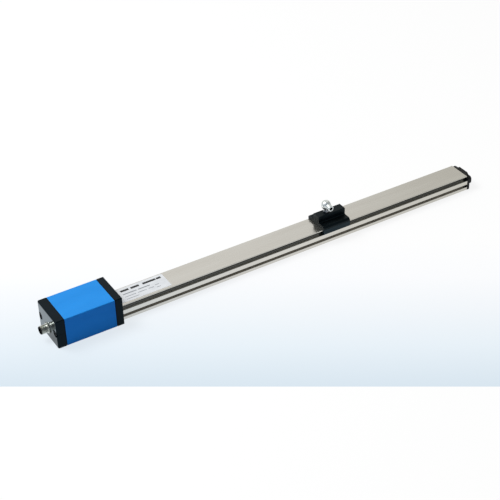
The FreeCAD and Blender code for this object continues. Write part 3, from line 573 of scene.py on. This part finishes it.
liner_plastic = common_finish(
    "liner_plastic", srgb(216, 214, 204), srgb(232, 230, 220), (200, 200, 200), (0.4, 0.5),
    0.3, (2500, 2500, 2500), 0.00002, Specular_IOR_Level=0.45)
silicone = common_finish(
    "silicone", srgb(202, 198, 188), srgb(216, 212, 202), (120, 120, 120), (0.5, 0.62),
    0.3, (2500, 2500, 2500), 0.00003, Specular_IOR_Level=0.35)
print("inner finishes ready")

# %% [markdown]
# ## Which part gets which finish
#
# The record names one finish for each part. A CAD node keeps its mesh and only has its material
# slots changed.

# %% Finishes onto the parts
finishes = {
    blue_anodised: ["housing_body"],
    front_cap_finish: ["front_cap"],
    black_coated: ["rear_cap"],
    black_rubber: ["front_gasket", "rear_gasket", "end_gasket", "connector_seal", "tube_seal"],
    dark_screw: ["front_cap_screws", "rear_cap_screws", "rail_screws", "end_cap_screws",
                 "pickup_screws"],
    clear_anodised: ["rail_extrusion"],
    black_moulded: ["rail_end_cap"],
    stainless: ["sensing_tube"],
    pin_finish: ["guide_pins"],
    silicone: ["waveguide_spacers", "waveguide_damper"],
    waveguide_alloy: ["waveguide"],
    copper: ["return_wire", "pickup_coil"],
    frame_plastic: ["pickup_frame"],
    magnet: ["bias_magnet", "carriage_magnets"],
    board_green: ["main_board"],
    can_metal: ["capacitors"],
    component_black: ["inductor", "processor"],
    header_plastic: ["board_header"],
    plated: ["connector_shell", "connector_nut"],
    insulator: ["connector_insert"],
    gold_pin: ["connector_pins"],
    black_anodised: ["carriage_body"],
    shoe_plastic: ["guide_shoe_back", "guide_shoe_front"],
    ball_steel: ["ball_stud", "stud_nut"],
    liner_plastic: ["socket_liner"],
    rod_end_finish: ["rod_end"],
}
for material, names in finishes.items():
    for name in names:
        nodes[name].data.materials.clear()
        nodes[name].data.materials.append(material)
done = {name for names in finishes.values() for name in names}
print("finished:", len(done), "still bare:", sorted(set(nodes) - done))

# %% [markdown]
# ## Modelling helpers
#
# A turned part is modelled as on a lathe. A plane merged to one point starts the outline, the
# point is extruded from corner to corner, and the outline is spun round the axis. A thread ridge
# is a small closed outline that the Screw modifier winds along the axis.

# %% Outlines
def start_outline(name, x, radius):
    """One selected point in edit mode, at a radius above the X axis."""
    bpy.ops.object.select_all(action="DESELECT")
    bpy.ops.mesh.primitive_plane_add(size=0.001, location=(0, 0, 0))
    piece = bpy.context.object
    piece.name = name
    bpy.ops.object.mode_set(mode="EDIT")
    bpy.ops.mesh.select_all(action="SELECT")
    bpy.ops.mesh.merge(type="CENTER")
    bpy.ops.transform.translate(value=(x, 0, radius))
    return piece


def draw_outline(points):
    """Extrudes the selected point along (x, radius) points."""
    for (x0, r0), (x1, r1) in zip(points, points[1:]):
        bpy.ops.mesh.extrude_vertices_move(
            TRANSFORM_OT_translate={"value": (x1 - x0, 0, r1 - r0)})


print("outlines can be drawn")

# %% Cleaning and placing
def clean(piece, angle=30.0):
    """Merges doubles, points the faces outwards, and shades smooth but for sharp edges."""
    bpy.ops.object.mode_set(mode="EDIT")
    bpy.ops.mesh.select_all(action="SELECT")
    bpy.ops.mesh.remove_doubles(threshold=1e-6)
    bpy.ops.mesh.normals_make_consistent(inside=False)
    bpy.ops.object.mode_set(mode="OBJECT")
    bpy.ops.object.shade_smooth_by_angle(angle=math.radians(angle))
    piece.select_set(False)


def place_mesh(piece, matrix):
    """Moves the mesh itself, so that the object stays at the origin."""
    piece.data.transform(matrix)
    piece.data.update()


print("pieces can be cleaned and placed")

# %% Turned parts
def turned(name, points, steps=64):
    """A ring or bar turned about the X axis from a closed outline."""
    piece = start_outline(name, *points[0])
    draw_outline(list(points) + [points[0]])
    bpy.ops.mesh.select_all(action="SELECT")
    bpy.ops.mesh.spin(steps=steps, angle=2 * math.pi, center=(0, 0, 0), axis=(1, 0, 0))
    bpy.ops.object.mode_set(mode="OBJECT")
    clean(piece)
    return piece


print("outlines can be turned")

# %% Thread ridges
def thread_ridge(name, root, crest, pitch, turns, steps=40):
    """A helical ridge about the X axis, from x = 0 on, with closed ends."""
    foot, flat = 0.42 * pitch, 0.07 * pitch
    ridge = [(-foot, root), (-flat, crest), (flat, crest), (foot, root)]
    piece = start_outline(name, *ridge[0])
    draw_outline(ridge + [ridge[0]])
    bpy.ops.mesh.select_all(action="SELECT")
    bpy.ops.mesh.remove_doubles(threshold=1e-7)
    bpy.ops.object.mode_set(mode="OBJECT")
    wind = piece.modifiers.new("wind", "SCREW")
    wind.axis = "X"
    wind.screw_offset = pitch
    wind.iterations = turns
    wind.steps = steps
    wind.render_steps = steps
    wind.use_merge_vertices = False
    bpy.ops.object.modifier_apply(modifier=wind.name)
    bpy.ops.object.mode_set(mode="EDIT")
    bpy.ops.mesh.select_all(action="SELECT")
    bpy.ops.mesh.remove_doubles(threshold=1e-7)
    bpy.ops.mesh.fill_holes(sides=0)
    bpy.ops.object.mode_set(mode="OBJECT")
    clean(piece)
    return piece


print("thread ridges can be wound")

# %% Joining and finishing
def join_into(target, *others):
    """Joins other pieces into the first."""
    bpy.ops.object.select_all(action="DESELECT")
    for piece in others:
        piece.select_set(True)
    target.select_set(True)
    bpy.context.view_layer.objects.active = target
    bpy.ops.object.join()
    target.select_set(False)
    return target


def finish_piece(piece, material, body):
    """Gives a new piece its finish and the body that it rides on."""
    piece.data.materials.clear()
    piece.data.materials.append(material)
    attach(piece, body)
    print(piece.name, "faces:", len(piece.data.polygons), "rides on", body)


print("pieces can be joined and finished")

# %% [markdown]
# ## The connector's receptacle
#
# The CAD barrel is a smooth tube. Such a receptacle is usually turned, with a fine M12 thread, a
# plain lead-in at its mouth, a run-out groove, and a hexagon flange whose corners are chamfered
# for the spanner. The barrel and its bore are one outline spun round the axis. The thread ridge
# winds round it, and the hexagon is a six-sided cylinder with bevelled edges and a bored middle.

# %% Receptacle barrel
inner_end_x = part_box("connector_shell")[1].x
flange_thickness = 0.002
flange_x = front_x - flange_thickness             # the flange's outer face
crest_radius, root_radius, seat_radius, bore_radius = 0.006, 0.00546, 0.0056, 0.0045
low_radius = root_radius - 0.0002                 # at the mouth and in the run-out groove
mouth_chamfer, lead_in = 0.00025, 0.0003
groove_start_x, groove_x = flange_x - 0.0008, flange_x - 0.0007
barrel = turned("receptacle", [
    (mouth_x, bore_radius + mouth_chamfer), (mouth_x, low_radius),
    (mouth_x + lead_in, root_radius), (groove_start_x, root_radius),
    (groove_x, low_radius), (flange_x, low_radius),
    (flange_x, seat_radius), (inner_end_x, seat_radius), (inner_end_x, bore_radius),
    (mouth_x + mouth_chamfer, bore_radius)])
print("barrel from", round(mouth_x, 5), "to", round(inner_end_x, 5))

# %% Thread of the receptacle
foot_radius = root_radius - 0.00004               # sunk into the barrel
ridge_radius = crest_radius - 0.00001             # just inside the CAD barrel
thread_pitch, thread_turns, first_turn_x = 0.001, 8, mouth_x + 0.00085
thread = thread_ridge("receptacle_thread", foot_radius, ridge_radius, thread_pitch, thread_turns)
place_mesh(thread, Matrix.Translation((first_turn_x, 0, 0)))
print("thread length:", round(thread.dimensions.x * 1000, 2), "mm")

# %% Hexagon flange
across_flats, flange_chamfer, boring_radius = 0.014, 0.0003, 0.0053
flange_middle = (front_x - flange_thickness / 2, 0, 0)
lying_along_x = (0, math.radians(90), 0)
bpy.ops.object.select_all(action="DESELECT")
bpy.ops.mesh.primitive_cylinder_add(
    vertices=6, radius=across_flats / 2 / math.cos(math.pi / 6), depth=flange_thickness,
    location=flange_middle, rotation=lying_along_x)
hexagon = bpy.context.object
hexagon.name = "receptacle_hexagon"
bpy.ops.object.transform_apply(location=True, rotation=True, scale=True)
bpy.ops.object.mode_set(mode="EDIT")
bpy.ops.mesh.select_all(action="SELECT")
bpy.ops.transform.rotate(value=math.radians(30), orient_axis="X",
                         center_override=flange_middle)
bpy.ops.mesh.bevel(offset=flange_chamfer, segments=2, affect="EDGES")
bpy.ops.object.mode_set(mode="OBJECT")
print("hexagon before boring:", len(hexagon.data.polygons), "faces")

# %% Bore of the flange
bpy.ops.mesh.primitive_cylinder_add(
    vertices=64, radius=boring_radius, depth=5 * flange_thickness,
    location=flange_middle, rotation=lying_along_x)
drill = bpy.context.object
boring = hexagon.modifiers.new("boring", "BOOLEAN")
boring.object = drill
boring.operation = "DIFFERENCE"
boring.solver = "EXACT"
bpy.ops.object.select_all(action="DESELECT")
hexagon.select_set(True)
bpy.context.view_layer.objects.active = hexagon
bpy.ops.object.modifier_apply(modifier=boring.name)
bpy.data.objects.remove(drill)
clean(hexagon)
print("hexagon across flats:", round(hexagon.dimensions.y * 1000, 2), "x",
      round(hexagon.dimensions.z * 1000, 2), "mm")

# %% Receptacle in place
receptacle = join_into(barrel, thread, hexagon)
place_mesh(receptacle, Matrix.Translation((0, 0, connector_z)))
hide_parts("connector_shell")
finish_piece(receptacle, receptacle_finish, "base")

# %% [markdown]
# ## The thread in the rod end
#
# The rod end's shank has a tapped hole. Its thread is a ridge that points inwards, so its crest
# radius is the smaller one. The hole lies along Y, so the ridge is wound along X and then turned
# a quarter round Z.

# %% Tapped hole
tap_foot_radius, tap_crest_radius, tap_pitch, tap_turns = 0.00214, 0.00182, 0.0008, 7
first_turn_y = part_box("rod_end")[0].y + 0.00045
tapping = thread_ridge("shank_thread", tap_foot_radius, tap_crest_radius, tap_pitch, tap_turns,
                       steps=32)
turn = Matrix.Rotation(math.radians(90), 4, "Z")
place_mesh(tapping, Matrix.Translation((hole_x, first_turn_y, hole_z)) @ turn)
finish_piece(tapping, rod_end_finish, "socket")

# %% [markdown]
# ## The rating plate
#
# A white printed plate lies on the rail beside the housing. It is a thin sheet with small round
# corners, a row of dark fields and some fine grey bars. The bars are drawn by the material, from
# distances along X and Y.

# %% Plate with rounded corners
corner_round = 0.0012
plate_low, plate_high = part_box("rating_plate")
middle = (plate_low + plate_high) / 2
size = plate_high - plate_low
bpy.ops.object.select_all(action="DESELECT")
bpy.ops.mesh.primitive_cube_add(size=1, location=middle, scale=size)
plate = bpy.context.object
plate.name = "printed_plate"
bpy.ops.object.transform_apply(location=True, rotation=True, scale=True)
bpy.ops.object.mode_set(mode="EDIT")
bpy.ops.mesh.select_mode(type="EDGE")
bpy.ops.mesh.select_all(action="DESELECT")
sheet = bmesh.from_edit_mesh(plate.data)
for edge in sheet.edges:
    a, b = edge.verts
    edge.select_set(abs(a.co.z - b.co.z) > size.z / 2)
bmesh.update_edit_mesh(plate.data)
bpy.ops.mesh.bevel(offset=corner_round, segments=5, affect="EDGES")
bpy.ops.object.mode_set(mode="OBJECT")
clean(plate)
print("plate:", [round(v * 1000, 1) for v in size], "mm")

# %% Where the bars are printed
plate_print, tree, shader = new_finish("plate_print", Specular_IOR_Level=0.4)
x, y, _ = object_axes(tree)
field_y, top_row_y, middle_row_y, low_row_y = (
    (0.0222, 0.0262), (0.0155, 0.0173), (0.0096, 0.0107), (0.0042, 0.0053))
fields = [(0.0127, 0.0249, *field_y), (0.0279, 0.0405, *field_y),
          (0.0460, 0.0655, *field_y), (0.0666, 0.0736, *field_y)]
rows = [(0.0127, 0.0330, *top_row_y), (0.0350, 0.0530, *top_row_y),
        (0.0127, 0.0290, *middle_row_y), (0.0320, 0.0450, *middle_row_y),
        (0.0127, 0.0310, *low_row_y), (0.0480, 0.0560, *middle_row_y),
        (0.0590, 0.0650, 0.0064, 0.0075), (0.0590, 0.0650, 0.0120, 0.0131)]


def band(value, centre, half):
    """1 inside a band of an axis, 0 outside, with hard edges."""
    node = add_node(tree, "ShaderNodeMath", operation="COMPARE")
    node.inputs[1].default_value = centre
    node.inputs[2].default_value = half
    tree.links.new(value, node.inputs[0])
    return node.outputs[0]


def printed(x0, x1, y0, y1):
    """A printed bar between two corners, in metres from the plate's low corner."""
    return all_of(tree, band(x, plate_low.x + (x0 + x1) / 2, (x1 - x0) / 2),
                  band(y, plate_low.y + (y0 + y1) / 2, (y1 - y0) / 2))


in_fields, in_rows = (any_of(tree, *(printed(*bar) for bar in bars)) for bars in (fields, rows))
print("dark fields:", len(fields), "grey bars:", len(rows))

# %% Tones of the plate
speckle = noise(tree, (900, 900, 900))
paper = two_tones(tree, noise(tree, (60, 60, 60)), srgb(210, 213, 218), srgb(224, 227, 231))
grey = two_tones(tree, speckle, srgb(128, 132, 138), srgb(142, 146, 152))
ink = two_tones(tree, speckle, srgb(26, 28, 30), srgb(40, 42, 45))
sheet_tone = mix_tones(tree, in_fields, mix_tones(tree, in_rows, paper, grey), ink)
tree.links.new(sheet_tone, shader.inputs["Base Color"])
film = noise(tree, (700, 700, 700))
tree.links.new(spread(tree, film, 0.34, 0.44), shader.inputs["Roughness"])
bump(tree, shader, film, 0.1, 0.00002)
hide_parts("rating_plate")
finish_piece(plate, plate_print, "base")

# %% [markdown]
# ## Floor
#
# The object stands on a plain pale floor. For the camera, and for what metal shows of it, most of
# the floor's brightness is its own, which keeps the ground as even as in the photograph while a
# soft shadow still falls on it. For all other light it is an ordinary pale surface.

# %% Floor plane
bpy.ops.object.select_all(action="DESELECT")
bpy.ops.mesh.primitive_plane_add(size=24, location=(0, 0, 0))
floor = bpy.context.object
floor.name = "floor"
print("floor:", round(floor.dimensions.x, 1), "m wide")

# %% Tone of the ground
white = (1, 1, 1, 1)
fade_tones = ((0.25, (233, 242, 249)), (0.5, (244, 248, 252)), (0.72, (252, 253, 255)))
floor_finish, tree, shader = new_finish(
    "floor_finish", Roughness=0.9, Specular_IOR_Level=0.1, Base_Color=(0.26, 0.33, 0.48, 1))
place = add_node(tree, "ShaderNodeTexCoord")
along = add_node(tree, "ShaderNodeVectorMath", operation="DOT_PRODUCT")
along.inputs[1].default_value = away
tree.links.new(place.outputs["Object"], along.inputs[0])
beyond_line = spread(tree, along.outputs["Value"], 0.0, 1.0, edge_offset,
                     edge_offset + fade_length)
ramp = add_node(tree, "ShaderNodeValToRGB")
ramp.color_ramp.elements[0].color = (*srgb(218, 231, 241), 1)
ramp.color_ramp.elements[1].color = white
for position, tone in fade_tones:
    ramp.color_ramp.elements.new(position).color = (*srgb(*tone), 1)
tree.links.new(beyond_line, ramp.inputs["Fac"])
before_line = add_node(tree, "ShaderNodeMath", operation="LESS_THAN")
before_line.inputs[1].default_value = edge_offset
tree.links.new(along.outputs["Value"], before_line.inputs[0])
ground_tone = add_node(tree, "ShaderNodeMix", data_type="RGBA")
ground_tone.inputs[7].default_value = white
tree.links.new(before_line.outputs[0], ground_tone.inputs["Factor"])
tree.links.new(ramp.outputs["Color"], ground_tone.inputs[6])
print("ground tones:", len(ramp.color_ramp.elements))

# %% What each ray sees of the floor
lit_share = 0.16
glow = add_node(tree, "ShaderNodeEmission")
pale = add_node(tree, "ShaderNodeBsdfDiffuse")
seen = add_node(tree, "ShaderNodeMixShader", Fac=lit_share)
for number, kind in enumerate((glow, pale), start=1):
    tree.links.new(ground_tone.outputs[2], kind.inputs["Color"])
    tree.links.new(kind.outputs[0], seen.inputs[number])
rays = add_node(tree, "ShaderNodeLightPath")
direct = any_of(tree, rays.outputs["Is Camera Ray"], rays.outputs["Is Glossy Ray"],
                rays.outputs["Is Transmission Ray"])
choose = add_node(tree, "ShaderNodeMixShader")
tree.links.new(direct, choose.inputs["Fac"])
tree.links.new(shader.outputs[0], choose.inputs[1])
tree.links.new(seen.outputs[0], choose.inputs[2])
tree.links.new(choose.outputs[0], tree.nodes["Material Output"].inputs["Surface"])
floor.data.materials.append(floor_finish)
print("floor finish:", len(tree.nodes), "nodes")

# %% [markdown]
# ## Light
#
# A soft lamp hangs high on the left behind the object. The tops of the housing and the rail are
# bright, and the sides towards the camera stay dim. The sky is a pale wall beyond the object that
# fades towards the camera's side. The satin rail mirrors that wall, and the dull black parts
# hardly do, which is what keeps them black.

# %% Lamp
lamp_place = Vector((-1.3, 1.0, 2.4))
bpy.ops.object.light_add(type="AREA", location=lamp_place)
lamp = bpy.context.object
lamp.name = "key_lamp"
lamp.data.shape = "DISK"
lamp.data.size = 1.4
lamp.data.energy = 64
lamp.rotation_euler = (-lamp_place).to_track_quat("-Z", "Y").to_euler()
print("lamp", round(lamp_place.length, 2), "m from the object's middle")

# %% Sky
towards_pale = (0.410, 0.706, 0.577)
sky_tones = ((0.8, (0.5, 0.485, 0.43, 1)), (0.96, (0.68, 0.665, 0.61, 1)))
world = bpy.data.worlds.new("sky")
world.use_nodes = True
bpy.context.scene.world = world
tree = world.node_tree
heading = add_node(tree, "ShaderNodeTexCoord")
towards_wall = add_node(tree, "ShaderNodeVectorMath", operation="DOT_PRODUCT")
towards_wall.inputs[1].default_value = towards_pale
tree.links.new(heading.outputs["Generated"], towards_wall.inputs[0])
sky = add_node(tree, "ShaderNodeValToRGB")
sky.color_ramp.elements[0].position = 0.0
sky.color_ramp.elements[0].color = (0.3, 0.33, 0.38, 1)
sky.color_ramp.elements[1].position = 0.995
sky.color_ramp.elements[1].color = (0.9, 0.9, 0.905, 1)
for position, tone in sky_tones:
    sky.color_ramp.elements.new(position).color = tone
tree.links.new(towards_wall.outputs["Value"], sky.inputs["Fac"])
tree.links.new(sky.outputs["Color"], tree.nodes["Background"].inputs["Color"])
tree.nodes["Background"].inputs["Strength"].default_value = 1.0
print("sky tones:", len(sky.color_ramp.elements))

# %% View settings and sizes
bpy.context.scene.view_settings.view_transform = "Standard"
